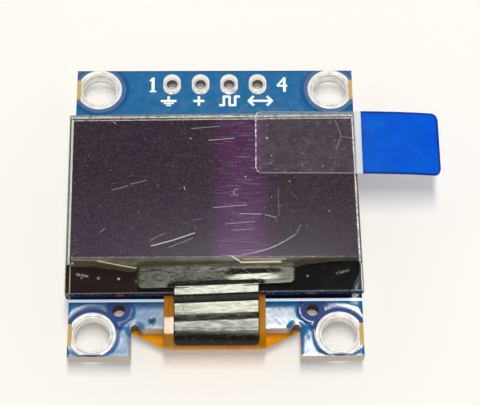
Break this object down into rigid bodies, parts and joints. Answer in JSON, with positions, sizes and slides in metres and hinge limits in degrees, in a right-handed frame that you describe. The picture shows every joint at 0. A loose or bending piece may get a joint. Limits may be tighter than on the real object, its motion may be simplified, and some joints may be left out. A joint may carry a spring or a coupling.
{
  "type": "small oled module",
  "caption": "Small flat display module: glass OLED panel taped on a blue circuit board, with a folded amber flex cable, corner holes, header holes and a peel-off film with a blue pull tab.",
  "frame": {"origin": "centre of the rectangle of four mounting holes, on the board's front face", "axes": "+X across the board, +Y towards the header holes, +Z out of the screen"},
  "size_m": [0.032, 0.0274, 0.0045],
  "materials": {
    "solder_mask": "semi-gloss blue solder mask over glass-epoxy laminate",
    "tinned_copper": "hot-air levelled tin over copper",
    "foam": "white double-sided foam tape",
    "clear_glass": "polished, cut edges",
    "desiccant": "white drying sheet",
    "glue_line": "cured epoxy seal",
    "polariser": "dark purple-grey circular polariser",
    "clear_film": "clear protective film, lightly scratched",
    "clear_tape": "clear tab tape",
    "blue_tape": "blue translucent tape",
    "silicon": "bare silicon die",
    "black_coating": "dark sealing coat",
    "polyimide": "amber polyimide over copper tracks",
    "black_tape": "glossy black light-shield tape",
    "solder": "bright solder",
    "moulded_black": "moulded epoxy",
    "capacitor_ceramic": "tan ceramic with tinned ends",
    "resistor_ceramic": "black glazed film on white ceramic with tinned ends"
  },
  "bodies": {
    "root": {"circuit_board": "solder_mask", "via_pads": "tinned_copper", "foam_tape": "foam", "cap_glass": "clear_glass", "desiccant_sheet": "desiccant", "edge_seal": "glue_line", "front_glass": "clear_glass", "polariser": "polariser", "protective_film": "clear_film", "pull_tab": "clear_tape", "pull_tab_grip": "blue_tape", "driver_chip": "silicon", "ledge_coating": "black_coating", "flex_cable": "polyimide", "cover_tape": "black_tape", "tail_solder": "solder", "regulator": "moulded_black", "regulator_leads": "tinned_copper", "diode": "moulded_black", "diode_leads": "tinned_copper", "address_resistor": "resistor_ceramic", "solder_fillets": "solder", "mounting_ring_1": "tinned_copper", "mounting_ring_2": "tinned_copper", "mounting_ring_3": "tinned_copper", "mounting_ring_4": "tinned_copper", "header_pad_1": "tinned_copper", "header_pad_2": "tinned_copper", "header_pad_3": "tinned_copper", "header_pad_4": "tinned_copper", "capacitor_1": "capacitor_ceramic", "capacitor_2": "capacitor_ceramic", "capacitor_3": "capacitor_ceramic", "capacitor_4": "capacitor_ceramic", "capacitor_5": "capacitor_ceramic", "capacitor_6": "capacitor_ceramic", "capacitor_7": "capacitor_ceramic", "capacitor_8": "capacitor_ceramic", "resistor_1": "resistor_ceramic", "resistor_2": "resistor_ceramic", "resistor_3": "resistor_ceramic", "resistor_4": "resistor_ceramic", "resistor_5": "resistor_ceramic", "resistor_6": "resistor_ceramic"}
  },
  "joints": []
}
